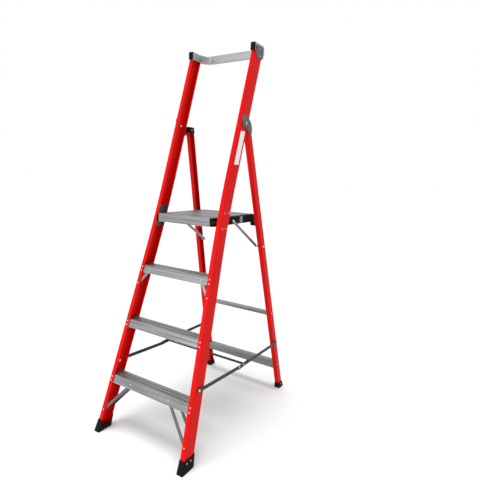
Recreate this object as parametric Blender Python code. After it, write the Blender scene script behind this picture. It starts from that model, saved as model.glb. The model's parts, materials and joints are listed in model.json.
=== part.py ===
"""Four-step platform step ladder with glass-fibre side rails, standing open.

Axes: +X to the right of a user facing the treads, +Y towards the rear legs,
+Z up.  The origin is on the floor, in the middle of the footprint.
All lengths are metres.
"""
import math

import bmesh
import bpy

# ---------------------------------------------------------------- dimensions
# front frame
FRONT_LEAN = math.radians(17.5)      # front rails lean back from vertical
RAIL_DEPTH = 0.073                   # front rail channel, front to back
RAIL_FLANGE = 0.0265                 # front rail flange, outside to lip
WALL = 0.004                         # wall of every glass-fibre channel
CORNER = 0.004                       # outside corner radius of a channel
FILLET = 0.0007                      # inside corner radius of a channel
RAIL_TOP_HALF = 0.2305               # outside half width above the flare
RAIL_FLARE = 0.0675                  # outward slope of a front rail, per metre
FLARE_LOW = 0.98                     # the rail is straight below this height
FLARE_HIGH = 1.40                    # and parallel above this height
RAIL_TOP = 2.1000                    # cut end of the front rails
FIT = 0.0003                         # air left between touching pieces

# hinge and rear frame
HINGE_HEIGHT = 1.704
HINGE_BACK = 0.044                   # hinge axis behind the rail's front face
REAR_LEAN = math.radians(13.5)
LEG_CLEAR = 0.0035                   # leg's front face behind the front rail
LEG_DEPTH = 0.044
LEG_FLANGE = 0.0276
LEG_INSET = 0.01384                  # leg's outside inboard of the rail, at the hinge
LEG_TAPER = 0.0512                   # inward slope of a leg, per metre
LEG_SHORT = 0.004                    # leg's top below the hinge axis

# feet
SOLE = 0.012
BOOT_HEIGHT = 0.062
BOOT_SKIN = 0.003
BOOT_FLARE = 0.003
REAR_BOOT_HEIGHT = 0.036
INNER_CUT = 0.028                    # height of the boot's low inner side

# treads
TREADS = 3
STEP_RISE = 0.300
TREAD_THICK = 0.003
TREAD_SKIRT = 0.041
SKIRT_THICK = 0.0025
TREAD_LIFT = 0.002                   # tread top above its nominal rise
EDGE = 0.0012                        # chamfer on the top edges of treads and bars

# platform
DECK_SET = 0.002                     # deck top below its nominal rise
DECK_DEPTH = 0.046                   # height of the nose and of the planks
DECK_OVERHANG = 0.0482               # deck nose in front of its pivot
DECK_LENGTH = 0.445
DECK_PLANKS = 3
SIDE_THICK = 0.018                   # width of the deck's side members
SIDE_MARGIN = 0.003                  # deck side shorter than the planks, each end
SIDE_SINK = 0.001                    # deck side lower than the planks
SIDE_CORNER = 0.004
PIVOT_BACK = 0.030                   # deck pivot behind the rail's front face
PIVOT_DROP = 0.038                   # deck pivot below the deck top
BRACKET_DOWN = 0.040                 # bracket below and above the deck pivot
BRACKET_UP = 0.078
BRACKET_WIDTH = 0.017
BRACKET_THICK = 0.003

# deck struts
STRUT_TOP_BACK = 0.1434              # strut pivot behind and above the deck pivot
STRUT_TOP_RISE = 0.012
STRUT_DROP = 0.160                   # strut foot below the deck pivot
STRUT_WIDTH = 0.016
STRUT_THICK = 0.004
STRUT_GAP = 0.0095                   # strut inboard of the deck bracket
SIDE_GAP = 0.0015                    # deck side inboard of the strut

# rear bars
UPPER_BAR = (0.541, 0.563)
LOWER_BAR = (0.145, 0.200)
BAR_SKIN = 0.0025
REST_DROP = 0.068                    # rest's foot below the deck top
REST_HOLD = 0.012                    # how far a rest reaches under the deck side

# spreaders
SPREAD_FRONT_BACK = 0.030            # front pivot behind the rail's front face
SPREAD_RISE = 0.063                  # front pivot above the first tread
SPREAD_REAR_DROP = 0.020             # rear pivot below the front one
SPREAD_REAR_BACK = 0.022             # rear pivot behind the leg's front face
KNEE_FRONT = (0.5120, 0.022)         # knee pivots: y, drop below the front pivot
KNEE_REAR = (0.6020, 0.018)
ARM_WIDTH = 0.020
ARM_GAP = 0.0023                     # front arm outboard of the front rail
ARM_THICK = 0.003
KNEE_THICK = 0.0025
STUD_R = 0.0065
STUD_H = 0.0025
KNEE_WIDTH = 0.024
TIE_SHARE = 0.61                     # tie bar's place between the knee pivots
TIE_DEPTH = 0.008
TIE_HEIGHT = 0.012

# braces
BRACE_WIDTH = 0.016
BRACE_THICK = 0.003
LOW_BRACE = (0.135, 0.018, 0.187)    # x, then drops of both ends below the tread
HIGH_BRACE = (0.180, 0.022, 0.099)
BRACE_INSET = 0.0145                 # lower end inboard of the rail's outside

# top rail
HAND_WIDTH = 0.030
HAND_HEIGHT = 0.043
HAND_WALL = 0.002
HAND_AHEAD = 0.0041                  # tube end in front of the rails' cut top
HAND_DEPTH = 0.154
HAND_RADIUS = 0.062                  # centre-line radius of the two bends
PLUG_FACE = 0.004
PLUG_SPIGOT = 0.014
TOP_PLATE_BACK = 0.010               # top bracket behind the tube's end
TOP_PLATE_UP = 0.030
TOP_PLATE_DOWN = 0.036
TOP_PLATE_SHOULDER = 0.024
TOP_PLATE_TAPER = (0.008, 0.013)     # how far its foot narrows, front and back
TOP_PLATE_THICK = 0.003

# hinge plates, caps
PLATE_CLEAR = 0.0012                 # plate outboard of the front rail
PLATE_THICK = 0.0042
HINGE_PLATE = ((-0.033, 0.040, 0.010), (-0.012, 0.046, 0.012),
               (0.018, 0.036, 0.012), (0.052, 0.008, 0.012),
               (0.062, -0.020, 0.012), (0.064, -0.046, 0.006),
               (0.044, -0.052, 0.006), (0.004, -0.022, 0.010),
               (-0.030, -0.018, 0.010))     # behind, above the hinge; radius
PAD_DROP = 0.048                     # pad's foot below the hinge
PAD_SPAN = (0.004, 0.024)            # pad's front and back behind the leg's face
CAP_RISE = 0.003
CAP_REACH = 0.030                    # cap's skirt down the leg
CAP_SKIN = 0.0017

# bolts
BOLT_R = 0.004
HEAD_R = 0.008
NUT_R = 0.007
HEAD_H = 0.004
NUT_H = 0.005
ROUND = 28                           # facets round a bolt

SIDES = (("left", -1.0), ("right", 1.0))

# ------------------------------------------------------- derived dimensions
TAN_F = math.tan(FRONT_LEAN)
COS_F = math.cos(FRONT_LEAN)
TAN_R = math.tan(REAR_LEAN)
COS_R = math.cos(REAR_LEAN)
HINGE_Y0 = HINGE_HEIGHT * TAN_F + HINGE_BACK / COS_F
LEG_BACK = RAIL_DEPTH - HINGE_BACK + LEG_CLEAR
LEG_TOP = HINGE_HEIGHT - LEG_SHORT
LEG_FLOOR_HALF = RAIL_TOP_HALF - LEG_INSET + LEG_TAPER * HINGE_HEIGHT
DECK_TOP = STEP_RISE * (TREADS + 1) - DECK_SET
PIVOT_HEIGHT = DECK_TOP - PIVOT_DROP
PIVOT_Y = PIVOT_HEIGHT * TAN_F + PIVOT_BACK / COS_F
DECK_NOSE = PIVOT_Y - DECK_OVERHANG
DECK_REAR = DECK_NOSE + DECK_LENGTH
STRUT_FOOT_Z = PIVOT_HEIGHT - STRUT_DROP
SPREAD_FRONT_Z = STEP_RISE + TREAD_LIFT + SPREAD_RISE
SPREAD_REAR_Z = SPREAD_FRONT_Z - SPREAD_REAR_DROP
BRACKET_LOW = PIVOT_HEIGHT - BRACKET_DOWN
BRACKET_HIGH = PIVOT_HEIGHT + BRACKET_UP
REST_LOW = DECK_TOP - REST_DROP
HAND_FRONT = RAIL_TOP * TAN_F - HAND_AHEAD
HAND_REAR = HAND_FRONT + HAND_DEPTH
LEG_FLOOR_Y = HINGE_Y0 + LEG_BACK / COS_R + HINGE_HEIGHT * TAN_R
FOOT_FRONT = -(BOOT_SKIN + BOOT_FLARE) / COS_F
FOOT_REAR = LEG_FLOOR_Y + (LEG_DEPTH + BOOT_SKIN + BOOT_FLARE) / COS_R
MID_Y = (FOOT_FRONT + FOOT_REAR) / 2.0


def rail_half(z):
    """Outside half width of the front rails at height z."""
    if z >= FLARE_HIGH:
        return RAIL_TOP_HALF
    span = FLARE_HIGH - FLARE_LOW
    if z <= FLARE_LOW:
        return RAIL_TOP_HALF + RAIL_FLARE * (span / 2.0 + FLARE_LOW - z)
    return RAIL_TOP_HALF + RAIL_FLARE * (FLARE_HIGH - z) ** 2 / (2.0 * span)


def leg_half(z):
    """Outside half width of the rear legs at height z."""
    return LEG_FLOOR_HALF - LEG_TAPER * z


def rail_y(back, z):
    """Y of a point a distance behind the front rails' front face."""
    return z * TAN_F + back / COS_F - MID_Y


def leg_y(back, z):
    """Y of a point a distance behind the rear legs' front face."""
    return LEG_FLOOR_Y - z * TAN_R + back / COS_R - MID_Y


# widths of what fits between and beside the rails and the legs
BRACKET_OUT = rail_half(BRACKET_HIGH) - WALL - 2.0 * FIT
BRACKET_IN = BRACKET_OUT - BRACKET_WIDTH
STRUT_OUT = BRACKET_IN - STRUT_GAP
STRUT_IN = STRUT_OUT - STRUT_THICK
SIDE_OUT = STRUT_IN - SIDE_GAP
PLANK_HALF = SIDE_OUT - SIDE_THICK
REST_IN = SIDE_OUT - REST_HOLD
ARM_IN = rail_half(SPREAD_FRONT_Z) + ARM_GAP


# ------------------------------------------------------------- mesh helpers
def clear_scene():
    for obj in list(bpy.data.objects):
        bpy.data.objects.remove(obj, do_unlink=True)


def paint(obj, colour, metallic, roughness):
    mat = bpy.data.materials.new(obj.name)
    mat.use_nodes = True
    shader = mat.node_tree.nodes["Principled BSDF"]
    shader.inputs["Base Color"].default_value = (*colour, 1.0)
    shader.inputs["Metallic"].default_value = metallic
    shader.inputs["Roughness"].default_value = roughness
    obj.data.materials.clear()
    obj.data.materials.append(mat)


RED = ((0.72, 0.02, 0.015), 0.0, 0.35)
ALU = ((0.50, 0.50, 0.51), 0.9, 0.42)
STEEL = ((0.12, 0.125, 0.13), 0.8, 0.45)
ZINC = ((0.62, 0.62, 0.62), 0.9, 0.35)
BLACK = ((0.02, 0.02, 0.022), 0.0, 0.55)
GREY = ((0.16, 0.165, 0.17), 0.7, 0.45)


def smooth(obj, angle=32.0):
    for poly in obj.data.polygons:
        poly.use_smooth = True
    obj.data.set_sharp_from_angle(angle=math.radians(angle))


def finish(bm, name, look):
    bmesh.ops.recalc_face_normals(bm, faces=bm.faces)
    bmesh.ops.triangulate(bm, faces=[f for f in bm.faces if len(f.verts) > 4],
                          ngon_method="EAR_CLIP")
    mesh = bpy.data.meshes.new(name)
    bm.to_mesh(mesh)
    bm.free()
    obj = bpy.data.objects.new(name, mesh)
    bpy.context.scene.collection.objects.link(obj)
    if look:
        paint(obj, *look)
        smooth(obj)
    return obj


def loft(name, rings, look=None):
    """Close a solid through rings that have the same number of points."""
    bm = bmesh.new()
    rows = [[bm.verts.new(p) for p in ring] for ring in rings]
    count = len(rings[0])
    for low, high in zip(rows, rows[1:]):
        for i in range(count):
            j = (i + 1) % count
            bm.faces.new((low[i], low[j], high[j], high[i]))
    bm.faces.new(list(reversed(rows[0])))
    bm.faces.new(rows[-1])
    return finish(bm, name, look)


def turned(name, profile, y, z, look=None, facets=ROUND):
    """Solid of revolution about an X axis through (y, z)."""
    bm = bmesh.new()
    rows = []
    for x, radius in profile:
        row = []
        for i in range(facets):
            a = 2.0 * math.pi * i / facets
            row.append(bm.verts.new((x, y + radius * math.cos(a),
                                     z + radius * math.sin(a))))
        rows.append(row)
    for low, high in zip(rows, rows[1:]):
        for i in range(facets):
            j = (i + 1) % facets
            bm.faces.new((low[i], low[j], high[j], high[i]))
    bm.faces.new(list(reversed(rows[0])))
    bm.faces.new(rows[-1])
    return finish(bm, name, look)


def slab(name, outline, x0, x1, look=None):
    """Plate with a (y, z) outline between two X positions."""
    rings = [[(x, y, z) for y, z in outline] for x in (x0, x1)]
    return loft(name, rings, look)


def combine(obj, others, how, look):
    """Boolean the other solids into obj and remove them."""
    for other in others:
        other.hide_render = True
        other.display_type = "WIRE"
        mod = obj.modifiers.new("bool", "BOOLEAN")
        mod.operation = how
        mod.solver = "EXACT"
        mod.object = other
    graph = bpy.context.evaluated_depsgraph_get()
    mesh = bpy.data.meshes.new_from_object(obj.evaluated_get(graph))
    obj.modifiers.clear()
    obj.data = mesh
    for other in others:
        bpy.data.objects.remove(other, do_unlink=True)
    paint(obj, *look)
    smooth(obj)
    return obj


def joined(name, solids):
    """Several separate solids as one object, so that one cut makes them all."""
    bm = bmesh.new()
    for solid in solids:
        bm.from_mesh(solid.data)
        bpy.data.objects.remove(solid, do_unlink=True)
    return finish(bm, name, None)


def drill(obj, holes, look):
    """Round holes along X; each hole is (x0, x1, y, z, radius)."""
    cutters = []
    for i, (x0, x1, y, z, radius) in enumerate(holes):
        ends = [(min(x0, x1), radius), (max(x0, x1), radius)]
        cutters.append(turned(f"{obj.name}_hole_{i}", ends, y, z))
    return combine(obj, [joined(f"{obj.name}_holes", cutters)], "DIFFERENCE", look)


def rounded(points, radii, steps=3):
    """Round the corners of a closed outline of 2-D points."""
    out = []
    count = len(points)
    for i, (px, py) in enumerate(points):
        r = radii[i]
        if r <= 0.0:
            out.append((px, py))
            continue
        ax, ay = points[i - 1]
        bx, by = points[(i + 1) % count]
        la = math.hypot(ax - px, ay - py)
        lb = math.hypot(bx - px, by - py)
        ua = ((ax - px) / la, (ay - py) / la)
        ub = ((bx - px) / lb, (by - py) / lb)
        half = math.acos(max(-1.0, min(1.0, ua[0] * ub[0] + ua[1] * ub[1]))) / 2.0
        run = r / math.tan(half)
        reach = r / math.sin(half)
        mx, my = ua[0] + ub[0], ua[1] + ub[1]
        ml = math.hypot(mx, my)
        cx, cy = px + mx / ml * reach, py + my / ml * reach
        start = math.atan2(py + ua[1] * run - cy, px + ua[0] * run - cx)
        end = math.atan2(py + ub[1] * run - cy, px + ub[0] * run - cx)
        turn = (end - start + math.pi) % (2.0 * math.pi) - math.pi
        for k in range(steps + 1):
            a = start + turn * k / steps
            out.append((cx + r * math.cos(a), cy + r * math.sin(a)))
    return out


def channel_outline(flange, depth, wall, corner):
    """Open channel as (inset, back) points, web on the outside."""
    inner = FILLET
    pts = [(flange, 0.0), (0.0, 0.0), (0.0, depth), (flange, depth),
           (flange, depth - wall), (wall, depth - wall), (wall, wall),
           (flange, wall)]
    tip = wall * 0.35
    radii = [tip, corner, corner, tip, tip, inner, inner, tip]
    return rounded(pts, radii)


def upright(name, side, outline, half, yline, heights, look=None):
    """Leaning member: a level (inset, back) outline at several heights."""
    rings = []
    for z in heights:
        rings.append([(side * (half(z) - q), yline(p, z), z) for q, p in outline])
    return loft(name, rings, look)


def rect(q0, q1, p0, p1):
    return [(q0, p0), (q1, p0), (q1, p1), (q0, p1)]


def crosspiece(name, end, yline, front, back, low, high, top, skin, look):
    """Inverted channel between two leaning members, ends cut to suit."""
    section = [(front, low), (front, high - EDGE), (front + EDGE, high),
               (back - EDGE, high), (back, high - EDGE), (back, low),
               (back - skin, low), (back - skin, high - top),
               (front + skin, high - top), (front + skin, low)]
    rings = []
    for side in (-1.0, 1.0):
        rings.append([(side * end(z), yline(p, z), z) for p, z in section])
    return loft(name, rings, look)


def bar_outline(a, b, width, ends=7):
    """Flat bar with round ends between two (y, z) points."""
    ang = math.atan2(b[1] - a[1], b[0] - a[0])
    pts = []
    for centre, base in ((b, -math.pi / 2.0), (a, math.pi / 2.0)):
        for k in range(ends + 1):
            t = ang + base + math.pi * k / ends
            pts.append((centre[0] + width / 2.0 * math.cos(t),
                        centre[1] + width / 2.0 * math.sin(t)))
    return pts


def ordered(side, a, b):
    return (side * a, side * b)


def bolt(name, side, y, z, steps, look=ZINC):
    """Bolt or pin along X from (distance, radius) steps, inside to outside."""
    profile = [(side * x, r) for x, r in steps]
    return turned(name, profile, y, z, look)


# ------------------------------------------------------------ main positions
hinge = (HINGE_Y0 - MID_Y, HINGE_HEIGHT)
deck_pivot = (rail_y(PIVOT_BACK, PIVOT_HEIGHT), PIVOT_HEIGHT)
strut_top = (PIVOT_Y + STRUT_TOP_BACK - MID_Y, PIVOT_HEIGHT + STRUT_TOP_RISE)
strut_foot = (leg_y(LEG_DEPTH / 2.0, STRUT_FOOT_Z), STRUT_FOOT_Z)
spread_front = (rail_y(SPREAD_FRONT_BACK, SPREAD_FRONT_Z), SPREAD_FRONT_Z)
spread_rear = (leg_y(SPREAD_REAR_BACK, SPREAD_REAR_Z), SPREAD_REAR_Z)
knee_front = (KNEE_FRONT[0] - MID_Y, SPREAD_FRONT_Z - KNEE_FRONT[1])
knee_rear = (KNEE_REAR[0] - MID_Y, SPREAD_FRONT_Z - KNEE_REAR[1])

clear_scene()

# ------------------------------------------------------------- front rails
flare_steps = 5
heights = [SOLE + FIT, FLARE_LOW]
for k in range(1, flare_steps):
    heights.append(FLARE_LOW + (FLARE_HIGH - FLARE_LOW) * k / flare_steps)
heights += [FLARE_HIGH, RAIL_TOP]
rail_outline = channel_outline(RAIL_FLANGE, RAIL_DEPTH, WALL, CORNER)
hole = BOLT_R + FIT
for label, side in SIDES:
    stile = upright(f"front_stile_{label}", side, rail_outline, rail_half,
                    rail_y, heights)
    top_web = rail_half(HINGE_HEIGHT)
    low_web = rail_half(SPREAD_FRONT_Z)
    drill(stile, [
        (side * (top_web - 0.010), side * (top_web + 0.010), *hinge, hole),
        (side * (low_web - 0.010), side * (low_web + 0.010), *spread_front, hole),
    ], RED)

# ------------------------------------------------------------------ treads
def inside_rails(z):
    return rail_half(z) - WALL - FIT


for number in range(1, TREADS + 1):
    top = STEP_RISE * number + TREAD_LIFT
    crosspiece(f"tread_{number}", inside_rails, rail_y, WALL + FIT,
               RAIL_DEPTH - WALL - FIT, top - TREAD_SKIRT, top, TREAD_THICK,
               SKIRT_THICK, ALU)


# ------------------------------------------------------------------ braces
def strap(name, side, tread, brace, back_top, back_foot, look):
    """Flat strap from a tread skirt down to a rail flange."""
    x_top, drop_top, drop_foot = brace
    tread_top = STEP_RISE * tread + TREAD_LIFT
    top = (x_top, tread_top - drop_top)
    foot_z = tread_top - drop_foot
    foot = (rail_half(foot_z) - BRACE_INSET, foot_z)
    outline = bar_outline(top, foot, BRACE_WIDTH, 5)
    drop = top[1] - foot_z
    rings = []
    for extra in (0.0, BRACE_THICK):
        ring = []
        for x, z in outline:
            share = (top[1] - z) / drop
            back = back_top + (back_foot - back_top) * share + extra
            ring.append((side * x, rail_y(back, z), z))
        rings.append(ring)
    return loft(name, rings, look)


skirt_in = WALL + SKIRT_THICK + 4.0 * FIT
lip_in = WALL + 2.0 * FIT
for label, side in SIDES:
    strap(f"tread_1_brace_front_{label}", side, 1, LOW_BRACE,
          skirt_in, lip_in, ALU)
    strap(f"tread_1_brace_rear_{label}", side, 1, LOW_BRACE,
          RAIL_DEPTH - skirt_in - BRACE_THICK,
          RAIL_DEPTH - lip_in - BRACE_THICK, ALU)
    strap(f"tread_3_brace_{label}", side, TREADS, HIGH_BRACE,
          skirt_in, lip_in, ALU)


# -------------------------------------------------------------------- feet
def boot(name, side, half, yline, flange, depth, height, skin, flare):
    """Moulded shoe round a channel end, low on its inner side."""
    rings = []
    for z, grow in ((0.0, skin + flare), (height, skin)):
        box = rounded(rect(-grow, flange + grow, -grow, depth + grow),
                      [CORNER] * 4)
        rings.append([(side * (half(z) - q), yline(p, z), z) for q, p in box])
    shoe = loft(name, rings)
    pocket = upright(f"{name}_pocket", side,
                     rect(-FIT, flange + FIT, -FIT, depth + FIT), half, yline,
                     (SOLE, height + SOLE))
    gate = upright(f"{name}_gate", side,
                   rect(flange - WALL, flange + 2.0 * (skin + flare) + WALL,
                        WALL + FIT, depth - WALL - FIT), half, yline,
                   (min(INNER_CUT, height * 0.5), height + SOLE))
    return combine(shoe, [pocket, gate], "DIFFERENCE", BLACK)


for label, side in SIDES:
    boot(f"front_foot_{label}", side, rail_half, rail_y, RAIL_FLANGE,
         RAIL_DEPTH, BOOT_HEIGHT, BOOT_SKIN, BOOT_FLARE)
    boot(f"rear_foot_{label}", side, leg_half, leg_y, LEG_FLANGE, LEG_DEPTH,
         REAR_BOOT_HEIGHT, BOOT_SKIN, BOOT_FLARE)

# --------------------------------------------------------------- rear legs
leg_outline = channel_outline(LEG_FLANGE, LEG_DEPTH, WALL, CORNER)
for label, side in SIDES:
    leg = upright(f"rear_leg_{label}", side, leg_outline, leg_half, leg_y,
                  (SOLE + FIT, LEG_TOP))
    strut_web = leg_half(STRUT_FOOT_Z)
    spread_web = leg_half(SPREAD_REAR_Z)
    drill(leg, [
        (side * (strut_web - 0.010), side * (strut_web + 0.010), *strut_foot, hole),
        (side * (spread_web - 0.010), side * (spread_web + 0.010), *spread_rear,
         hole),
    ], RED)


def inside_legs(z):
    return leg_half(z) - WALL - FIT


for label, (low, high) in (("upper", UPPER_BAR), ("lower", LOWER_BAR)):
    crosspiece(f"rear_bar_{label}", inside_legs, leg_y, WALL + FIT,
               LEG_DEPTH - WALL - FIT, low, high, BAR_SKIN, BAR_SKIN, ALU)

# caps over the top of the legs
CAP_TOP = LEG_TOP + CAP_RISE
CAP_LOW = LEG_TOP - CAP_REACH
for label, side in SIDES:
    skin = CAP_SKIN + FIT
    cap = upright(f"rear_cap_{label}", side,
                  rounded(rect(0.0, LEG_FLANGE + skin, -skin, LEG_DEPTH + skin),
                          [0.0, 0.002, 0.002, 0.0]), leg_half, leg_y,
                  (CAP_LOW, CAP_TOP))
    pocket = upright(f"rear_cap_{label}_pocket", side,
                     rect(-skin, LEG_FLANGE + FIT, -FIT, LEG_DEPTH + FIT),
                     leg_half, leg_y, (CAP_LOW - skin, LEG_TOP + FIT))
    combine(cap, [pocket], "DIFFERENCE", BLACK)

# ------------------------------------------------------------ hinge plates
PLATE_IN = RAIL_TOP_HALF + PLATE_CLEAR
PLATE_OUT = PLATE_IN + PLATE_THICK
plate_shape = [(behind, above) for behind, above, _radius in HINGE_PLATE]
plate_round = [radius for _behind, _above, radius in HINGE_PLATE]
pad_low = HINGE_HEIGHT - PAD_DROP
pad_high = LEG_TOP - LEG_SHORT
for label, side in SIDES:
    outline = [(hinge[0] + y, hinge[1] + z) for y, z in
               rounded(plate_shape, plate_round)]
    plate = slab(f"hinge_plate_{label}", outline, *ordered(side, PLATE_IN,
                                                         PLATE_OUT))
    pad_rings = []
    for z in (pad_low, pad_high):
        inner = leg_half(z) + FIT
        near, far = PAD_SPAN
        ring = [(inner, near), (PLATE_IN + FIT, near),
                (PLATE_IN + FIT, far), (inner, far)]
        pad_rings.append([(side * x, leg_y(p, z), z) for x, p in ring])
    pad = loft(f"hinge_pad_{label}", pad_rings)
    combine(plate, [pad], "UNION", GREY)
    drill(plate, [(side * (PLATE_IN - 0.002), side * (PLATE_OUT + 0.002),
                   *hinge, hole)], GREY)
    web_in = RAIL_TOP_HALF - WALL
    bolt(f"hinge_bolt_{label}", side, *hinge, [
        (web_in - FIT - NUT_H, NUT_R), (web_in - FIT, NUT_R),
        (web_in - FIT, BOLT_R), (PLATE_OUT + FIT, BOLT_R),
        (PLATE_OUT + FIT, HEAD_R), (PLATE_OUT + FIT + HEAD_H * 0.6, HEAD_R),
        (PLATE_OUT + FIT + HEAD_H, HEAD_R * 0.6)])

# ---------------------------------------------------------------- platform
deck_low = DECK_TOP - DECK_DEPTH
plank = (DECK_REAR - DECK_NOSE) / DECK_PLANKS
plank_names = ("front", "middle", "rear")


def plank_half(_z):
    return PLANK_HALF


def level_y(back, _z):
    return DECK_NOSE + back - MID_Y


for i, name in enumerate(plank_names):
    crosspiece(f"deck_plank_{name}", plank_half, level_y,
               plank * i + FIT / 2.0, plank * (i + 1) - FIT / 2.0, deck_low,
               DECK_TOP, TREAD_THICK, SKIRT_THICK, ALU)

nose = DECK_NOSE - MID_Y + SIDE_MARGIN
tail = DECK_REAR - MID_Y - SIDE_MARGIN
side_shape = rect(nose, tail, deck_low + SIDE_SINK, DECK_TOP - SIDE_SINK)
for label, side in SIDES:
    cheek = slab(f"deck_side_{label}", rounded(side_shape, [SIDE_CORNER] * 4),
                 *ordered(side, PLANK_HALF + FIT, SIDE_OUT))
    drill(cheek, [(side * (PLANK_HALF - 0.004), side * (SIDE_OUT + 0.004),
                   *deck_pivot, hole)], BLACK)

# brackets that carry the deck pivots inside the front rails
for label, side in SIDES:
    front = WALL + FIT
    rear = RAIL_DEPTH - WALL - FIT
    shape = [(BRACKET_IN, front), (BRACKET_OUT, front), (BRACKET_OUT, rear),
             (BRACKET_IN, rear), (BRACKET_IN, rear - BRACKET_THICK),
             (BRACKET_OUT - BRACKET_THICK, rear - BRACKET_THICK),
             (BRACKET_OUT - BRACKET_THICK, front + BRACKET_THICK),
             (BRACKET_IN, front + BRACKET_THICK)]
    shape = rounded(shape, [0.0, CORNER, CORNER, 0.0, 0.0, 0.0, 0.0, 0.0])
    rings = []
    for z in (BRACKET_LOW, BRACKET_HIGH):
        rings.append([(side * x, rail_y(p, z), z) for x, p in shape])
    bracket = loft(f"deck_bracket_{label}", rings)
    drill(bracket, [(side * (BRACKET_OUT - 0.008), side * (BRACKET_OUT + 0.004),
                     *deck_pivot, hole)], ALU)
    seat = BRACKET_OUT - BRACKET_THICK
    bolt(f"deck_pivot_bolt_{label}", side, *deck_pivot, [
        (PLANK_HALF + FIT + 0.002, BOLT_R), (SIDE_OUT + FIT, BOLT_R),
        (SIDE_OUT + FIT, NUT_R), (seat - FIT, NUT_R), (seat - FIT, BOLT_R),
        (BRACKET_OUT + FIT, BOLT_R)])

# ------------------------------------------------------------- deck struts
for label, side in SIDES:
    strut = slab(f"deck_strut_{label}",
                 bar_outline(strut_foot, strut_top, STRUT_WIDTH),
                 *ordered(side, STRUT_IN, STRUT_OUT))
    reach = (side * (STRUT_IN - 0.002), side * (STRUT_OUT + 0.002))
    drill(strut, [(*reach, *strut_foot, hole), (*reach, *strut_top, hole)], GREY)
    web = leg_half(STRUT_FOOT_Z)
    bolt(f"strut_foot_bolt_{label}", side, *strut_foot, [
        (STRUT_IN - FIT - HEAD_H, HEAD_R), (STRUT_IN - FIT, HEAD_R),
        (STRUT_IN - FIT, BOLT_R), (STRUT_OUT + FIT, BOLT_R),
        (STRUT_OUT + FIT, NUT_R), (web - WALL - 2.0 * FIT, NUT_R),
        (web - WALL - 2.0 * FIT, BOLT_R), (web + 2.0 * FIT, BOLT_R),
        (web + 2.0 * FIT, NUT_R), (web + HEAD_H, NUT_R * 0.8)])
    bolt(f"strut_top_pin_{label}", side, *strut_top, [
        (STRUT_IN - FIT, BOLT_R), (STRUT_OUT + FIT, BOLT_R),
        (STRUT_OUT + FIT, NUT_R), (STRUT_OUT + HEAD_H, NUT_R * 0.8)])

# rests inside the rear legs, under the back of the deck
for label, side in SIDES:
    rings = []
    top = deck_low - FIT
    for z in (REST_LOW, top):
        shape = [(REST_IN, WALL + FIT), (inside_legs(z), WALL + FIT),
                 (inside_legs(z), LEG_DEPTH - WALL - FIT),
                 (REST_IN, LEG_DEPTH - WALL - FIT)]
        rings.append([(side * x, leg_y(p, z), z) for x, p in shape])
    loft(f"deck_rest_{label}", rings, BLACK)

# --------------------------------------------------------------- spreaders
ARM_OUT = ARM_IN + ARM_THICK
KNEE_IN = ARM_OUT + FIT
KNEE_OUT = KNEE_IN + KNEE_THICK
REAR_ARM_IN = KNEE_OUT + FIT
REAR_ARM_OUT = REAR_ARM_IN + ARM_THICK
tie = (knee_front[0] + (knee_rear[0] - knee_front[0]) * TIE_SHARE,
       knee_front[1] + (knee_rear[1] - knee_front[1]) * TIE_SHARE)
for label, side in SIDES:
    arm = slab(f"spreader_front_arm_{label}",
               bar_outline(spread_front, knee_front, ARM_WIDTH),
               *ordered(side, ARM_IN, ARM_OUT))
    reach = (side * (ARM_IN - 0.001), side * (ARM_OUT + 0.001))
    drill(arm, [(*reach, *spread_front, hole), (*reach, *knee_front, hole)],
          STEEL)
    arm = slab(f"spreader_rear_arm_{label}",
               bar_outline(knee_rear, spread_rear, ARM_WIDTH),
               *ordered(side, REAR_ARM_IN, REAR_ARM_OUT))
    reach = (side * (REAR_ARM_IN - 0.001), side * (REAR_ARM_OUT + 0.001))
    drill(arm, [(*reach, *spread_rear, hole)], STEEL)
    knee = slab(f"spreader_knee_{label}",
                bar_outline(knee_front, knee_rear, KNEE_WIDTH),
                *ordered(side, KNEE_IN, KNEE_OUT))
    stud = turned(f"knee_stud_{label}", [
        (side * (ARM_IN - STUD_H), STUD_R), (side * (ARM_IN - FIT), STUD_R),
        (side * (ARM_IN - FIT), BOLT_R), (side * (KNEE_IN + 0.001), BOLT_R)],
        *knee_front)
    combine(knee, [stud], "UNION", STEEL)
    web = rail_half(SPREAD_FRONT_Z)
    bolt(f"spreader_front_bolt_{label}", side, *spread_front, [
        (web - WALL - 3.0 * FIT - NUT_H, NUT_R), (web - WALL - 3.0 * FIT, NUT_R),
        (web - WALL - 3.0 * FIT, BOLT_R), (web + 3.0 * FIT, BOLT_R),
        (web + 3.0 * FIT, NUT_R), (ARM_IN - FIT, NUT_R), (ARM_IN - FIT, BOLT_R),
        (ARM_OUT + FIT, BOLT_R), (ARM_OUT + FIT, HEAD_R),
        (ARM_OUT + HEAD_H, HEAD_R * 0.7)])
    web = leg_half(SPREAD_REAR_Z)
    bolt(f"spreader_rear_bolt_{label}", side, *spread_rear, [
        (web - WALL - 3.0 * FIT - NUT_H, NUT_R), (web - WALL - 3.0 * FIT, NUT_R),
        (web - WALL - 3.0 * FIT, BOLT_R), (web + 3.0 * FIT, BOLT_R),
        (web + 3.0 * FIT, NUT_R), (REAR_ARM_IN - FIT, NUT_R),
        (REAR_ARM_IN - FIT, BOLT_R), (REAR_ARM_OUT + FIT, BOLT_R),
        (REAR_ARM_OUT + FIT, HEAD_R), (REAR_ARM_OUT + HEAD_H, HEAD_R * 0.7)])

half_y = TIE_DEPTH / 2.0
half_z = TIE_HEIGHT / 2.0
tie_shape = [(tie[0] - half_y, tie[1] - half_z), (tie[0] + half_y, tie[1] - half_z),
             (tie[0] + half_y, tie[1] + half_z), (tie[0] - half_y, tie[1] + half_z)]
slab("spreader_tie_bar", rounded(tie_shape, [0.0015] * 4, 2), -(KNEE_IN - FIT),
     KNEE_IN - FIT, STEEL)


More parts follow.
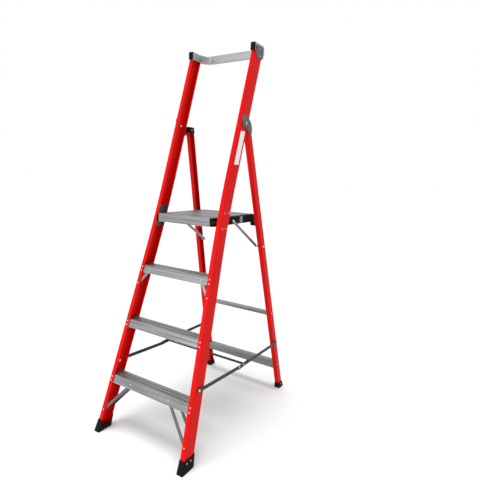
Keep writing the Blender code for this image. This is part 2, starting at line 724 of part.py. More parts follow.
# ---------------------------------------------------------------- top rail
def hand_path():
    """Centre line of the U-shaped top rail with its outward normals."""
    x = RAIL_TOP_HALF - HAND_WIDTH / 2.0
    y0 = HAND_FRONT - MID_Y
    y1 = HAND_REAR - MID_Y - HAND_WIDTH / 2.0
    r = HAND_RADIUS
    steps = 12
    path = [(-x, y0, -1.0, 0.0)]
    for k in range(steps + 1):
        a = math.pi - math.pi / 2.0 * k / steps
        path.append((-x + r + r * math.cos(a), y1 - r + r * math.sin(a),
                     math.cos(a), math.sin(a)))
    for k in range(steps + 1):
        a = math.pi / 2.0 - math.pi / 2.0 * k / steps
        path.append((x - r + r * math.cos(a), y1 - r + r * math.sin(a),
                     math.cos(a), math.sin(a)))
    path.append((x, y0, 1.0, 0.0))
    return path


def rail_tube(name, width, height, wall, base, look):
    """Hollow rectangular tube along the top rail's path."""
    bm = bmesh.new()
    mid = base + height / 2.0
    loops = []
    for grow, corner in ((0.0, 0.004), (wall, 0.002)):
        w = width / 2.0 - grow
        h = height / 2.0 - grow
        section = rounded([(-w, -h), (w, -h), (w, h), (-w, h)], [corner] * 4, 3)
        loops.append(section)
    rows = []
    for x, y, nx, ny in hand_path():
        rows.append([[bm.verts.new((x + nx * a, y + ny * a, mid + b))
                      for a, b in section] for section in loops])
    count = len(loops[0])
    for low, high in zip(rows, rows[1:]):
        for layer in (0, 1):
            for i in range(count):
                j = (i + 1) % count
                bm.faces.new((low[layer][i], low[layer][j], high[layer][j],
                              high[layer][i]))
    for row in (rows[0], rows[-1]):
        for i in range(count):
            j = (i + 1) % count
            bm.faces.new((row[0][i], row[0][j], row[1][j], row[1][i]))
    return finish(bm, name, look)


hand_base = RAIL_TOP + FIT
rail_tube("top_rail", HAND_WIDTH, HAND_HEIGHT, HAND_WALL, hand_base, ALU)
hand_mid_x = RAIL_TOP_HALF - HAND_WIDTH / 2.0
hand_mid_z = hand_base + HAND_HEIGHT / 2.0
for label, side in SIDES:
    front = HAND_FRONT - MID_Y
    rings = []
    small = HAND_WALL + FIT
    for y, shrink in ((front - PLUG_FACE, 0.001), (front - PLUG_FACE / 2.0, 0.0),
                      (front - FIT, 0.0), (front - FIT, small),
                      (front + PLUG_SPIGOT, small)):
        w = HAND_WIDTH / 2.0 - shrink
        h = HAND_HEIGHT / 2.0 - shrink
        box = rounded([(-w, -h), (w, -h), (w, h), (-w, h)], [0.003] * 4, 2)
        rings.append([(side * hand_mid_x + a, y, hand_mid_z + b) for a, b in box])
    loft(f"top_rail_plug_{label}", rings, BLACK)
    near = front + TOP_PLATE_BACK
    far = near + RAIL_DEPTH
    plate = [(near, RAIL_TOP - TOP_PLATE_SHOULDER),
             (near + TOP_PLATE_TAPER[0], RAIL_TOP - TOP_PLATE_DOWN),
             (far - TOP_PLATE_TAPER[1], RAIL_TOP - TOP_PLATE_DOWN),
             (far, RAIL_TOP - TOP_PLATE_SHOULDER),
             (far, RAIL_TOP + TOP_PLATE_UP), (near, RAIL_TOP + TOP_PLATE_UP)]
    slab(f"top_rail_bracket_{label}", rounded(plate, [CORNER] * 6, 2),
         *ordered(side, RAIL_TOP_HALF + FIT,
                  RAIL_TOP_HALF + FIT + TOP_PLATE_THICK), GREY)



# ------------------------------------------------- origins and joint empties
def settle(obj):
    """Put an object's origin in the middle of its own bounding box."""
    xs = [v.co.x for v in obj.data.vertices]
    ys = [v.co.y for v in obj.data.vertices]
    zs = [v.co.z for v in obj.data.vertices]
    mid = ((min(xs) + max(xs)) / 2.0, (min(ys) + max(ys)) / 2.0,
           (min(zs) + max(zs)) / 2.0)
    for v in obj.data.vertices:
        v.co.x -= mid[0]
        v.co.y -= mid[1]
        v.co.z -= mid[2]
    obj.location = mid


def hang(axis_name, x, point, names, parent=None):
    """Parent objects to an empty that stands on their joint's axis."""
    empty = bpy.data.objects.new(axis_name, None)
    empty.empty_display_size = 0.03
    bpy.context.scene.collection.objects.link(empty)
    base = (0.0, 0.0, 0.0)
    if parent:
        empty.parent = parent[0]
        base = parent[1]
    place = (x, point[0], point[1])
    empty.location = [a - b for a, b in zip(place, base)]
    for name in names:
        child = bpy.data.objects[name]
        child.parent = empty
        child.location = [a - b for a, b in zip(child.location, place)]
    return empty, place


for obj in list(bpy.data.objects):
    settle(obj)

rear_nodes = ["rear_bar_upper", "rear_bar_lower"]
for stem in ("rear_leg", "rear_foot", "rear_cap", "hinge_plate", "deck_rest",
             "strut_foot_bolt", "spreader_rear_bolt"):
    rear_nodes += [f"{stem}_{label}" for label, _side in SIDES]
rear_axis = hang("rear_frame_axis", 0.0, hinge, rear_nodes)
deck_nodes = [f"deck_plank_{name}" for name in plank_names]
deck_nodes += [f"deck_side_{label}" for label, _side in SIDES]
hang("deck_axis", 0.0, deck_pivot, deck_nodes)
arm_axes = {}
for label, side in SIDES:
    hang(f"strut_axis_{label}", side * STRUT_OUT, strut_foot,
         [f"deck_strut_{label}", f"strut_top_pin_{label}"], rear_axis)
    arm_axes[label] = hang(f"front_arm_axis_{label}", side * ARM_OUT,
                           spread_front, [f"spreader_front_arm_{label}"])
    hang(f"rear_arm_axis_{label}", side * REAR_ARM_OUT, spread_rear,
         [f"spreader_rear_arm_{label}"], rear_axis)
hang("knee_axis", ARM_OUT, knee_front,
     ["spreader_knee_left", "spreader_knee_right", "spreader_tie_bar"],
     arm_axes["right"])

bpy.context.view_layer.update()
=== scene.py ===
"""Studio scene of a platform step ladder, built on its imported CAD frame.

Axes: +X to the right of a user facing the treads, +Y towards the rear legs,
+Z up.  The floor is at z = 0.  All lengths are metres.
"""
import json
import math

import bmesh
import bpy
from mathutils import Matrix, Vector
from mathutils.bvhtree import BVHTree


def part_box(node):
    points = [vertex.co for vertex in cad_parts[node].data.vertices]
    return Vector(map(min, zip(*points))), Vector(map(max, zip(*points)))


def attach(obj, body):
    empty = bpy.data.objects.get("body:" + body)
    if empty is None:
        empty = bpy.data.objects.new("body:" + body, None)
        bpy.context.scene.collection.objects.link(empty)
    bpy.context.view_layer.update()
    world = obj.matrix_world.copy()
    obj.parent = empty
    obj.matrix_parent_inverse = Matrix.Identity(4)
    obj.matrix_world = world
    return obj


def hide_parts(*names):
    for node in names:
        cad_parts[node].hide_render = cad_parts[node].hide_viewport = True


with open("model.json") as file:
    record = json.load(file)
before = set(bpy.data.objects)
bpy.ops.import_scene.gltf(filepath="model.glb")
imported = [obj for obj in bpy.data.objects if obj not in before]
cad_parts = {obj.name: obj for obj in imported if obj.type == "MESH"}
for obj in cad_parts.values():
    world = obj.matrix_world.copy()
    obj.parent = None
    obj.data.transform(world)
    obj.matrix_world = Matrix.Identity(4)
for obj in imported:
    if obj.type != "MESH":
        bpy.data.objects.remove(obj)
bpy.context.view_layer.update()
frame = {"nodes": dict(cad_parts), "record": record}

# ---------------------------------------------------------------- dimensions
SIDES = (("left", -1.0), ("right", 1.0))
RAIL_LEAN = math.radians(17.5)       # front rails lean back from vertical
LEG_LEAN = math.radians(13.5)        # rear legs lean the other way
FLANGE = 0.0265                      # front rail flange, outside to lip
RIVET = 0.0042                       # head radius of an ordinary rivet
BIG_RIVET = 0.0075
HEAD_RISE = 0.40                     # height of a head as a share of its radius
FAR = 2.0                            # start of a search line, outside the part

RIB_PITCH = 0.0165                   # ribs on the deck, and on the treads
TREAD_PITCH = 0.0240
RIB_HEIGHT = 0.0022
RIB_CREST = 0.72                     # share of the pitch that is crest
PLATE = 0.0040                       # rib crest to underside
SKIRT = 0.0025
EDGE = 0.0012                        # chamfer on the top edges

RIB_SLOPE = 0.35                     # lean of a rib's side, as a share of its height

TREADS = (1, 2, 3)
TREAD_RIVETS = (0.009, 0.030)        # below the tread top, on the flange
BRACE_RIVETS = (0.115, 0.803)        # heights on the flange
SKIRT_RIVETS = ((1, 0.019), (3, 0.023))  # tread, and the drop below its top
SKIRT_INSET = 0.008                  # head's centre in from the brace's edge
BRACKET_INSET = 0.013                # heads inside the bracket's top edge
BRACKET_LIFT = 0.023                 # and above its bottom edge
BRACKET_TOP_ROW = (0.020, 0.060)     # behind the rail's front face
BRACKET_LOW_ROW = (0.026, 0.058)
BOOT_RIVET_RISE = 0.72               # shares of the boot's height and depth
BOOT_RIVETS = (0.38, 0.66)
REAR_BOOT_RISE = 0.6
KNEE_RIVETS = (0.11, 0.50, 0.89)     # shares of the knee's length
TOP_RIVETS = (0.20, 0.78)            # shares of the top bracket's height
TRIM_THICK = 0.0006
TRIM_BEVEL = 0.3                     # share of the trim's thickness
TRIM_MARGIN = 0.003                  # trim inside the deck side's edges
STRIP_START = 0.60                   # share of the deck side's length
STRIP_WIDTH = 0.030
NOSE_WEB_LENGTH = 0.045              # far end behind the deck side's nose
NOSE_WEB_HALF = 0.002
LABEL_LOW = 1.48
LABEL_HIGH = 1.66
LABEL_BACK = (0.018, 0.060)          # behind the rail's front face
LABEL_THICK = 0.0002

# ------------------------------------------------------------------- camera
CAMERA_PLACE = Vector((1.4436, -1.9044, 1.4147))
CAMERA_YAW = 0.5588
CAMERA_PITCH = -0.1515
CAMERA_ROLL = 0.0363
CAMERA_LENS = 30.85                  # millimetres on a 36 mm sensor


def make_camera():
    level = math.cos(CAMERA_PITCH)
    forward = Vector((-math.sin(CAMERA_YAW) * level,
                      math.cos(CAMERA_YAW) * level, math.sin(CAMERA_PITCH)))
    right = forward.cross(Vector((0.0, 0.0, 1.0))).normalized()
    up = right.cross(forward)
    turn = Matrix.Rotation(-CAMERA_ROLL, 3, forward)
    right = turn @ right
    up = turn @ up
    data = bpy.data.cameras.new("camera")
    data.lens = CAMERA_LENS
    data.sensor_width = 36.0
    obj = bpy.data.objects.new("camera", data)
    bpy.context.scene.collection.objects.link(obj)
    axes = Matrix((right, up, -forward)).transposed().to_4x4()
    obj.matrix_world = Matrix.Translation(CAMERA_PLACE) @ axes
    bpy.context.scene.camera = obj


# ---------------------------------------------------------------- materials
EDGE_WIDTH = 0.0012                  # how far the edge colour reaches from an edge: rubbing on most finishes, painted shade on the braces
EDGE_RANGE = (0.86, 0.985)           # normals' match from the full edge colour to none
GRAIN_RANGE = (0.30, 0.70)
SMUDGE_RANGE = (0.35, 0.65)
SMUDGE_SCALE = (5.0, 5.0, 5.0)
SMUDGE_DETAIL = 3.0
SMUDGE_DARK = (0.90, 0.90, 0.90, 1.0)
RELIEF_DEPTH = 0.0006
WHITE = (1.0, 1.0, 1.0, 1.0)
NONE = (0.0, 0.0, 0.0, 1.0)


def node(tree, kind, **values):
    made = tree.nodes.new(kind)
    for key, value in values.items():
        setattr(made, key, value)
    return made


def ramp(tree, source, low, high, start, end):
    """A two-colour ramp over a factor."""
    made = node(tree, "ShaderNodeValToRGB")
    made.color_ramp.elements[0].position = start
    made.color_ramp.elements[0].color = low
    made.color_ramp.elements[1].position = end
    made.color_ramp.elements[1].color = high
    tree.links.new(source, made.inputs[0])
    return made.outputs[0]


def blend_colours(tree, factor, first, second, mode="MIX"):
    made = node(tree, "ShaderNodeMix", data_type="RGBA", blend_type=mode)
    if isinstance(factor, float):
        made.inputs[0].default_value = factor
    else:
        tree.links.new(factor, made.inputs[0])
    for slot, value in ((6, first), (7, second)):
        if isinstance(value, tuple):
            made.inputs[slot].default_value = value
        else:
            tree.links.new(value, made.inputs[slot])
    return made.outputs[2]


def noise(tree, place, scale, turn=(0.0, 0.0, 0.0), detail=4.0):
    """Noise stretched along the turned axes."""
    mapping = node(tree, "ShaderNodeMapping")
    mapping.inputs["Rotation"].default_value = turn
    mapping.inputs["Scale"].default_value = scale
    tree.links.new(place, mapping.inputs["Vector"])
    made = node(tree, "ShaderNodeTexNoise")
    made.inputs["Scale"].default_value = 1.0
    made.inputs["Detail"].default_value = detail
    tree.links.new(mapping.outputs[0], made.inputs["Vector"])
    return made.outputs["Fac"]


def surface(name, base, spread, metallic, rough, grain, turn=(0.0, 0.0, 0.0),
            bump=0.08, edge_wear_and_shade=None, specular=0.5):
    """A material with grain, uneven gloss, smudges and coloured edges: rubbed and worn on
    most finishes, a dark painted shade on the braces.

    base is the colour and spread how far the grain takes it darker and
    lighter, rough the lowest and highest roughness, grain the noise scale
    along each turned axis, and the edge colour argument the colour of the edges: rubbed and
    worn on most finishes, a dark painted shade on the braces.
    """
    mat = bpy.data.materials.new(name)
    mat.use_nodes = True
    tree = mat.node_tree
    shader = tree.nodes["Principled BSDF"]
    place = node(tree, "ShaderNodeTexCoord").outputs["Object"]
    fine = noise(tree, place, grain, turn)
    broad = noise(tree, place, SMUDGE_SCALE, detail=SMUDGE_DETAIL)
    dark = (*[c * (1.0 - spread) for c in base], 1.0)
    light = (*[min(1.0, c * (1.0 + spread)) for c in base], 1.0)
    colour = ramp(tree, fine, dark, light, *GRAIN_RANGE)
    soft = ramp(tree, broad, SMUDGE_DARK, WHITE, *SMUDGE_RANGE)
    colour = blend_colours(tree, 1.0, colour, soft, "MULTIPLY")
    # Edge colour: rubbed, worn edges on most finishes, and a dark painted shade along the
    # braces' edges.
    if edge_wear_and_shade:
        rounded = node(tree, "ShaderNodeBevel", samples=4)
        rounded.inputs["Radius"].default_value = EDGE_WIDTH
        match = node(tree, "ShaderNodeVectorMath", operation="DOT_PRODUCT")
        tree.links.new(rounded.outputs[0], match.inputs[0])
        tree.links.new(node(tree, "ShaderNodeNewGeometry").outputs["Normal"], match.inputs[1])
        mask = ramp(tree, match.outputs["Value"], WHITE, NONE, *EDGE_RANGE)
        colour = blend_colours(tree, mask, colour, (*edge_wear_and_shade, 1.0))
    tree.links.new(colour, shader.inputs["Base Color"])
    gloss = node(tree, "ShaderNodeMapRange")
    gloss.inputs["To Min"].default_value = rough[0]
    gloss.inputs["To Max"].default_value = rough[1]
    tree.links.new(broad, gloss.inputs["Value"])
    tree.links.new(gloss.outputs[0], shader.inputs["Roughness"])
    relief = node(tree, "ShaderNodeBump")
    relief.inputs["Strength"].default_value = bump
    relief.inputs["Distance"].default_value = RELIEF_DEPTH
    tree.links.new(fine, relief.inputs["Height"])
    tree.links.new(relief.outputs[0], shader.inputs["Normal"])
    shader.inputs["Metallic"].default_value = metallic
    shader.inputs["Specular IOR Level"].default_value = specular
    return mat


RAIL_RED = surface("rail_fibreglass", (0.60, 0.0025, 0.002), 0.10, 0.0, (0.28, 0.42),
                   (420.0, 420.0, 7.0), turn=(RAIL_LEAN, 0.0, 0.0), bump=0.10,
                   edge_wear_and_shade=(0.68, 0.03, 0.025), specular=0.07)
LEG_RED = surface("leg_fibreglass", (0.60, 0.0025, 0.002), 0.10, 0.0, (0.28, 0.42),
                  (420.0, 420.0, 7.0), turn=(-LEG_LEAN, 0.0, 0.0), bump=0.10,
                  edge_wear_and_shade=(0.68, 0.03, 0.025), specular=0.07)
ALUMINIUM = surface("extruded_aluminium", (0.225, 0.228, 0.232), 0.42, 0.75, (0.34, 0.52),
                    (3.0, 190.0, 190.0), bump=0.14, edge_wear_and_shade=(0.50, 0.50, 0.51))
# Brace aluminium: its near-black edge colour is painted shade, standing in for the shaded
# lips of a channel section the flat braces lack.
BRACE_ALU = surface("brace_aluminium", (0.24, 0.24, 0.25), 0.14, 0.75, (0.34, 0.50),
                    (220.0, 220.0, 220.0), bump=0.08, edge_wear_and_shade=(0.030, 0.030, 0.032))
# A darker copy of the brace aluminium for tread 1's braces: painted shade, with its edges
# darkened further by painted shade.
LOW_BRACE_SHADE = surface("low_brace_painted_shade", (0.13, 0.13, 0.135), 0.20, 0.75, (0.36, 0.52),
                    (220.0, 220.0, 220.0), bump=0.08, edge_wear_and_shade=(0.020, 0.020, 0.021))
TOP_ALU = surface("top_rail_aluminium", (0.34, 0.34, 0.35), 0.24, 0.75, (0.30, 0.46),
                  (8.0, 300.0, 460.0), bump=0.10, edge_wear_and_shade=(0.60, 0.60, 0.60))
GREY_STEEL = surface("grey_steel", (0.11, 0.113, 0.118), 0.20, 0.75, (0.38, 0.55),
                     (260.0, 40.0, 260.0), bump=0.12, edge_wear_and_shade=(0.26, 0.26, 0.27))
COATED = surface("coated_steel", (0.026, 0.027, 0.029), 0.18, 0.55, (0.38, 0.56),
                 (300.0, 12.0, 300.0), bump=0.10, edge_wear_and_shade=(0.10, 0.10, 0.104))
ZINC = surface("zinc_plate", (0.50, 0.50, 0.49), 0.10, 0.90, (0.24, 0.42),
               (380.0, 380.0, 380.0), bump=0.08, edge_wear_and_shade=(0.80, 0.80, 0.78))
BLACK = surface("moulded_black", (0.005, 0.005, 0.0055), 0.30, 0.0, (0.46, 0.66),
                (700.0, 700.0, 700.0), bump=0.22, edge_wear_and_shade=(0.022, 0.022, 0.023), specular=0.06)
# Painted shade for the rib grooves, which are too shallow to cast much shadow of their own.
GROOVE_SHADE = surface("groove_shadow", (0.035, 0.036, 0.037), 0.25, 0.40, (0.50, 0.66),
                 (6.0, 420.0, 420.0), bump=0.10)
LABEL = surface("blank_label", (0.78, 0.78, 0.76), 0.03, 0.0, (0.30, 0.44),
                (90.0, 90.0, 90.0), bump=0.03)

FLOOR_PALE = 0.62                    # lit by the key light it reads as white
FLOOR_ROUGH = 0.9
FLOOR_SIZE = 60.0
WORLD_STRENGTH = 1.0
KEY_POWER = 2.35
KEY_ANGLE = math.radians(26.0)       # a wide sun, for soft shadows
KEY_HEADING = (0.06, 0.10, -1.0)
FRONT_PLACE = (-1.6, -5.0, 2.2)
FRONT_AIM = (0.0, 0.0, 0.9)
FRONT_SIZE = 2.4
FRONT_POWER = 80.0


def floor_material():
    mat = bpy.data.materials.new("studio_floor")
    mat.use_nodes = True
    shader = mat.node_tree.nodes["Principled BSDF"]
    shader.inputs["Base Color"].default_value = (FLOOR_PALE, FLOOR_PALE, FLOOR_PALE, 1.0)
    shader.inputs["Roughness"].default_value = FLOOR_ROUGH
    shader.inputs["Specular IOR Level"].default_value = 0.0
    return mat


FINISH = (
    ("front_stile", RAIL_RED), ("rear_leg", LEG_RED),
    ("front_foot", BLACK), ("rear_foot", BLACK), ("rear_cap", BLACK),
    ("deck_side", BLACK), ("deck_rest", BLACK), ("top_rail_plug", BLACK),
    ("tread_1_brace", LOW_BRACE_SHADE), ("tread_3_brace", BRACE_ALU),
    ("tread", ALUMINIUM), ("deck_plank", ALUMINIUM), ("deck_bracket", GREY_STEEL),
    ("deck_pivot_bolt", ZINC), ("hinge_bolt", ZINC), ("strut_foot_bolt", ZINC),
    ("strut_top_pin", ZINC), ("spreader_front_bolt", ZINC),
    ("spreader_rear_bolt", ZINC), ("rear_bar", ALUMINIUM),
    ("hinge_plate", GREY_STEEL), ("deck_strut", BRACE_ALU),
    ("top_rail_bracket", GREY_STEEL), ("top_rail", TOP_ALU),
    ("spreader", COATED),
)


def finish_frame():
    """Give every CAD node the first finish whose stem its name starts with."""
    for name, obj in frame["nodes"].items():
        mat = next(m for stem, m in FINISH if name.startswith(stem))
        if not obj.material_slots:
            obj.data.materials.append(mat)
        for holder in obj.material_slots:
            holder.material = mat


# ------------------------------------------------------------ mesh helpers
def shape(name, bm, mat, body, smooth=False):
    """Turn a bmesh into a piece that rides on a body."""
    bmesh.ops.recalc_face_normals(bm, faces=bm.faces)
    mesh = bpy.data.meshes.new(name)
    bm.to_mesh(mesh)
    bm.free()
    for face in mesh.polygons:
        face.use_smooth = smooth
    mesh.materials.append(mat)
    obj = bpy.data.objects.new(name, mesh)
    bpy.context.scene.collection.objects.link(obj)
    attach(obj, body)
    return obj


def tree_of(name):
    mesh = frame["nodes"][name].data
    return BVHTree.FromPolygons([v.co for v in mesh.vertices],
                                [tuple(p.vertices) for p in mesh.polygons])


def body_of(name):
    bodies = frame["record"]["behaviour"]["bodies"]
    return next(body for body, nodes in bodies.items() if name in nodes)


def touch(name, start, direction):
    """Where a line first meets a CAD node, and the surface's normal there."""
    heading = Vector(direction).normalized()
    place, normal, _index, _distance = tree_of(name).ray_cast(Vector(start), heading)
    if place is None:
        return None
    if normal.dot(heading) > 0.0:
        normal = -normal
    return place, normal


def extrude_x(name, outline, grooves, reach, mat, body):
    """An outline in y and z, drawn out along X as far as reach(z) each way.

    The faces on the edges listed as grooves get a dark painted shade.
    """
    bm = bmesh.new()
    ends = []
    for side in (-1.0, 1.0):
        ends.append([bm.verts.new((side * reach(z), y, z)) for y, z in outline])
        bm.faces.new(ends[-1])
    count = len(outline)
    for i in range(count):
        j = (i + 1) % count
        side = bm.faces.new((ends[0][i], ends[0][j], ends[1][j], ends[1][i]))
        side.material_index = 1 if i in grooves else 0
    obj = shape(name, bm, mat, body)
    obj.data.materials.append(GROOVE_SHADE)
    return obj


def plate_on_side(name, side, x, low, high, mat, body):
    """A thin flat plate standing on a face that looks along X."""
    bm = bmesh.new()
    bmesh.ops.create_cube(bm, size=1.0)
    size = (TRIM_THICK, high[0] - low[0], high[1] - low[1])
    middle = (x + side * TRIM_THICK / 2.0, (low[0] + high[0]) / 2.0, (low[1] + high[1]) / 2.0)
    move = Matrix.Translation(middle) @ Matrix.Diagonal((*size, 1.0))
    bmesh.ops.transform(bm, matrix=move, verts=bm.verts)
    bmesh.ops.bevel(bm, geom=list(bm.edges), offset=TRIM_THICK * TRIM_BEVEL, segments=1,
                    affect="EDGES", profile=0.5)
    return shape(name, bm, mat, body)


# ------------------------------------------------------------------- rivets
HEAD_RINGS = 5
HEAD_FACETS = 20


def rivet(name, target, start, direction, radius=RIVET):
    """A domed head set on a CAD node where a line meets it."""
    found = touch(target, start, direction)
    if not found:
        return None
    place, normal = found
    bm = bmesh.new()
    rings = []
    for i in range(HEAD_RINGS):
        angle = math.pi / 2.0 * i / HEAD_RINGS
        ring = []
        for k in range(HEAD_FACETS):
            turn = 2.0 * math.pi * k / HEAD_FACETS
            ring.append(bm.verts.new((radius * math.cos(angle) * math.cos(turn),
                                      radius * math.cos(angle) * math.sin(turn),
                                      radius * HEAD_RISE * math.sin(angle))))
        rings.append(ring)
    crown = bm.verts.new((0.0, 0.0, radius * HEAD_RISE))
    for low, high in zip(rings, rings[1:]):
        for k in range(HEAD_FACETS):
            j = (k + 1) % HEAD_FACETS
            bm.faces.new((low[k], low[j], high[j], high[k]))
    for k in range(HEAD_FACETS):
        bm.faces.new((rings[-1][k], rings[-1][(k + 1) % HEAD_FACETS], crown))
    bm.faces.new(list(reversed(rings[0])))
    turn = normal.to_track_quat("Z", "Y").to_matrix().to_4x4()
    bmesh.ops.transform(bm, matrix=Matrix.Translation(place) @ turn, verts=bm.verts)
    return shape(name, bm, ZINC, body_of(target), smooth=True)


STILE_LOW, STILE_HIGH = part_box("front_stile_right")


def front_y(z):
    """Y of the front rails' front face."""
    return STILE_LOW.y + (z - STILE_LOW.z) * math.tan(RAIL_LEAN)


def web_x(side, z):
    """Outside X of a front rail at a height."""
    label = "left" if side < 0.0 else "right"
    start = (side * FAR, front_y(z) + FLANGE, z)
    return touch(f"front_stile_{label}", start, (-side, 0.0, 0.0))[0].x


def rail_rivets():
    """Heads on the front flanges, beside each tread and brace end."""
    heights = []
    for count in TREADS:
        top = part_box(f"tread_{count}")[1].z
        heights += [top - drop for drop in TREAD_RIVETS]
    heights += list(BRACE_RIVETS)
    for label, side in SIDES:
        for i, z in enumerate(heights):
            x = web_x(side, z) - side * FLANGE / 2.0
            rivet(f"flange_rivet_{label}_{i}", f"front_stile_{label}",
                  (x, -FAR, z), (0.0, 1.0, 0.0))


def bracket_rivets():
    """Heads on the outer web, over the deck bracket inside it."""
    for label, side in SIDES:
        low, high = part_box(f"deck_bracket_{label}")
        rows = ((high.z - BRACKET_INSET, BRACKET_TOP_ROW),
                (low.z + BRACKET_LIFT, BRACKET_LOW_ROW))
        for i, (z, row) in enumerate(rows):
            for k, back in enumerate(row):
                rivet(f"bracket_rivet_{label}_{i}_{k}", f"front_stile_{label}",
                      (side * FAR, front_y(z) + back, z), (-side, 0.0, 0.0))


def brace_rivets():
    """Heads on the tread skirts, at the braces' upper ends."""
    for count, drop in SKIRT_RIVETS:
        stem = "tread_1_brace_front" if count == 1 else "tread_3_brace"
        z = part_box(f"tread_{count}")[1].z - drop
        for label, side in SIDES:
            low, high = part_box(f"{stem}_{label}")
            x = low.x + SKIRT_INSET if side > 0.0 else high.x - SKIRT_INSET
            rivet(f"skirt_rivet_{count}_{label}", f"tread_{count}",
                  (x, -FAR, z), (0.0, 1.0, 0.0))


def foot_rivets():
    """Heads on the outsides of the front boots and the rear feet."""
    for label, side in SIDES:
        low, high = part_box(f"front_foot_{label}")
        z = low.z + BOOT_RIVET_RISE * (high.z - low.z)
        for i, share in enumerate(BOOT_RIVETS):
            rivet(f"boot_rivet_{label}_{i}", f"front_foot_{label}",
                  (side * FAR, low.y + share * (high.y - low.y), z), (-side, 0.0, 0.0))
        low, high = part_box(f"rear_foot_{label}")
        rivet(f"rear_boot_rivet_{label}", f"rear_foot_{label}",
              (side * FAR, (low.y + high.y) / 2.0,
               low.z + REAR_BOOT_RISE * (high.z - low.z)),
              (-side, 0.0, 0.0))


def knee_rivets():
    """Heads along the outside of each spreader knee."""
    for label, side in SIDES:
        low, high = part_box(f"spreader_knee_{label}")
        for i, share in enumerate(KNEE_RIVETS):
            y = low.y + share * (high.y - low.y)
            rivet(f"knee_rivet_{label}_{i}", f"spreader_knee_{label}",
                  (side * FAR, y, (low.z + high.z) / 2.0), (-side, 0.0, 0.0), BIG_RIVET)


def leg_rivets():
    """Heads inside the leg caps, and outside the legs at each rear bar."""
    for label, side in SIDES:
        low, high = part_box(f"rear_cap_{label}")
        y = (low.y + high.y) / 2.0
        rivet(f"cap_rivet_{label}", f"rear_cap_{label}",
              (0.0, y, (low.z + high.z) / 2.0), (side, 0.0, 0.0))
        for stem in ("rear_bar_upper", "rear_bar_lower"):
            bar_low, bar_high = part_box(stem)
            z = (bar_low.z + bar_high.z) / 2.0
            rivet(f"{stem}_rivet_{label}", f"rear_leg_{label}",
                  (side * FAR, (bar_low.y + bar_high.y) / 2.0, z), (-side, 0.0, 0.0))


def top_rivets():
    """Heads on the outside of each top rail bracket."""
    for label, side in SIDES:
        low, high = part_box(f"top_rail_bracket_{label}")
        for i, share in enumerate(TOP_RIVETS):
            rivet(f"top_rivet_{label}_{i}", f"top_rail_bracket_{label}",
                  (side * FAR, low.y + 0.5 * (high.y - low.y),
                   low.z + share * (high.z - low.z)), (-side, 0.0, 0.0))


# ------------------------------------------------------- treads and the deck
def ribbed(front, depth, low, high, rake, rib):
    """The outline of a ribbed top with a skirt at the front and at the back.

    front is the front face's y at the foot of the skirt, depth its distance
    to the back face, rake how far both faces lean back for each metre up, and
    rib the nearest pitch to aim for.
    Also returns which edges of the outline lie in a groove.
    """
    room = depth - 2.0 * SKIRT
    count = round(room / rib)
    pitch = room / count
    lean = RIB_HEIGHT * RIB_SLOPE
    outline = [(0.0, low), (0.0, high - EDGE), (EDGE, high)]
    grooves = []
    for i in range(count - 1):
        cut = SKIRT + (i + RIB_CREST) * pitch
        end = SKIRT + (i + 1) * pitch
        grooves += [len(outline), len(outline) + 1, len(outline) + 2]
        outline += [(cut, high), (cut + lean, high - RIB_HEIGHT),
                    (end - lean, high - RIB_HEIGHT), (end, high)]
    outline += [(depth - EDGE, high), (depth, high - EDGE), (depth, low),
                (depth - SKIRT, low), (depth - SKIRT, high - PLATE),
                (SKIRT, high - PLATE), (SKIRT, low)]
    return [(front + back + (z - low) * rake, z) for back, z in outline], grooves


def half_width(name, at_top):
    """Half the width of a CAD node, at its top or at its foot."""
    low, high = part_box(name)
    level = high.z if at_top else low.z
    return max(v.co.x for v in frame["nodes"][name].data.vertices
               if abs(v.co.z - level) < EDGE / 2.0)


def ribbed_piece(name, label, body, rake, rib):
    """Stand a ribbed extrusion in for a plain CAD tread or plank."""
    low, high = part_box(name)
    wide = half_width(name, False)
    narrow = half_width(name, True)

    def reach(z):
        return wide + (narrow - wide) * (z - low.z) / (high.z - low.z)

    depth = high.y - low.y - (high.z - EDGE - low.z) * rake
    outline, grooves = ribbed(low.y, depth, low.z, high.z, rake, rib)
    piece = extrude_x(label, outline, grooves, reach, ALUMINIUM, body)
    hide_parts(name)


def make_treads():
    for count in TREADS:
        ribbed_piece(f"tread_{count}", f"ribbed_tread_{count}", "front_frame",
                     math.tan(RAIL_LEAN), TREAD_PITCH)


def make_deck():
    for part in ("front", "middle", "rear"):
        ribbed_piece(f"deck_plank_{part}", f"ribbed_plank_{part}", "deck", 0.0,
                     RIB_PITCH)


def deck_side_trim():
    """A grey strip across each side panel, and a light web at its nose."""
    for label, side in SIDES:
        low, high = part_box(f"deck_side_{label}")
        outside = high.x if side > 0.0 else low.x
        depth = high.y - low.y
        start = low.y + STRIP_START * depth
        plate_on_side(f"deck_strip_{label}", side, outside,
                      (start, low.z + TRIM_MARGIN),
                      (start + STRIP_WIDTH, high.z - TRIM_MARGIN),
                      ALUMINIUM, "deck")
        middle = (low.z + high.z) / 2.0
        plate_on_side(f"deck_nose_web_{label}", side, outside,
                      (low.y + TRIM_MARGIN, middle - NOSE_WEB_HALF),
                      (low.y + NOSE_WEB_LENGTH, middle + NOSE_WEB_HALF),
                      ALUMINIUM, "deck")


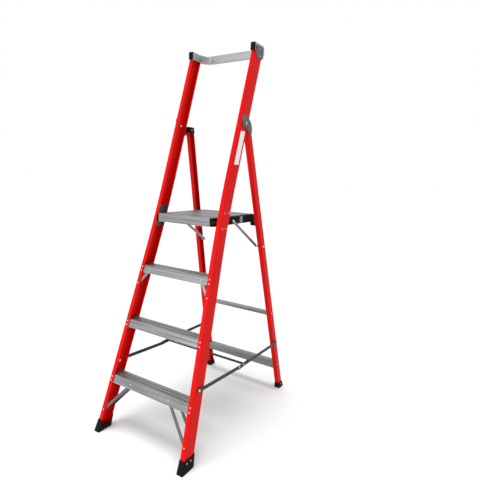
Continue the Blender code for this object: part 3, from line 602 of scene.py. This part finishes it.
# ----------------------------------------------------------------- the label
def make_label():
    """A blank pale label on the right rail's outer web."""
    bm = bmesh.new()
    corners = ((LABEL_LOW, LABEL_BACK[0]), (LABEL_LOW, LABEL_BACK[1]),
               (LABEL_HIGH, LABEL_BACK[1]), (LABEL_HIGH, LABEL_BACK[0]))
    lift = []
    for thick in (0.0, LABEL_THICK):
        lift.append([bm.verts.new((web_x(1.0, z) + thick, front_y(z) + back, z))
                     for z, back in corners])
        bm.faces.new(lift[-1])
    for i in range(4):
        j = (i + 1) % 4
        bm.faces.new((lift[0][i], lift[0][j], lift[1][j], lift[1][i]))
    shape("blank_label", bm, LABEL, "front_frame")


# -------------------------------------------------------------------- studio
def soft_light(name, place, target, size, power):
    data = bpy.data.lights.new(name, "AREA")
    data.shape = "SQUARE"
    data.size = size
    data.energy = power
    obj = bpy.data.objects.new(name, data)
    bpy.context.scene.collection.objects.link(obj)
    obj.location = place
    aim = Vector(target) - Vector(place)
    obj.rotation_euler = aim.to_track_quat("-Z", "Y").to_euler()


def make_studio():
    bm = bmesh.new()
    bmesh.ops.create_grid(bm, x_segments=1, y_segments=1, size=FLOOR_SIZE)
    mesh = bpy.data.meshes.new("floor")
    bm.to_mesh(mesh)
    bm.free()
    mesh.materials.append(floor_material())
    floor = bpy.data.objects.new("floor", mesh)
    bpy.context.scene.collection.objects.link(floor)
    world = bpy.data.worlds.new("studio")
    world.use_nodes = True
    sky = world.node_tree.nodes["Background"]
    sky.inputs["Color"].default_value = WHITE
    sky.inputs["Strength"].default_value = WORLD_STRENGTH
    bpy.context.scene.world = world
    bpy.context.scene.view_settings.view_transform = "Standard"
    sun = bpy.data.lights.new("key_light", "SUN")
    sun.energy = KEY_POWER
    sun.angle = KEY_ANGLE
    key = bpy.data.objects.new("key_light", sun)
    bpy.context.scene.collection.objects.link(key)
    key.rotation_euler = Vector(KEY_HEADING).to_track_quat("-Z", "Y").to_euler()
    soft_light("front_light", FRONT_PLACE, FRONT_AIM, FRONT_SIZE, FRONT_POWER)


finish_frame()
make_treads()
make_deck()
deck_side_trim()
rail_rivets()
bracket_rivets()
brace_rivets()
foot_rivets()
knee_rivets()
leg_rivets()
top_rivets()
make_label()
make_studio()
make_camera()
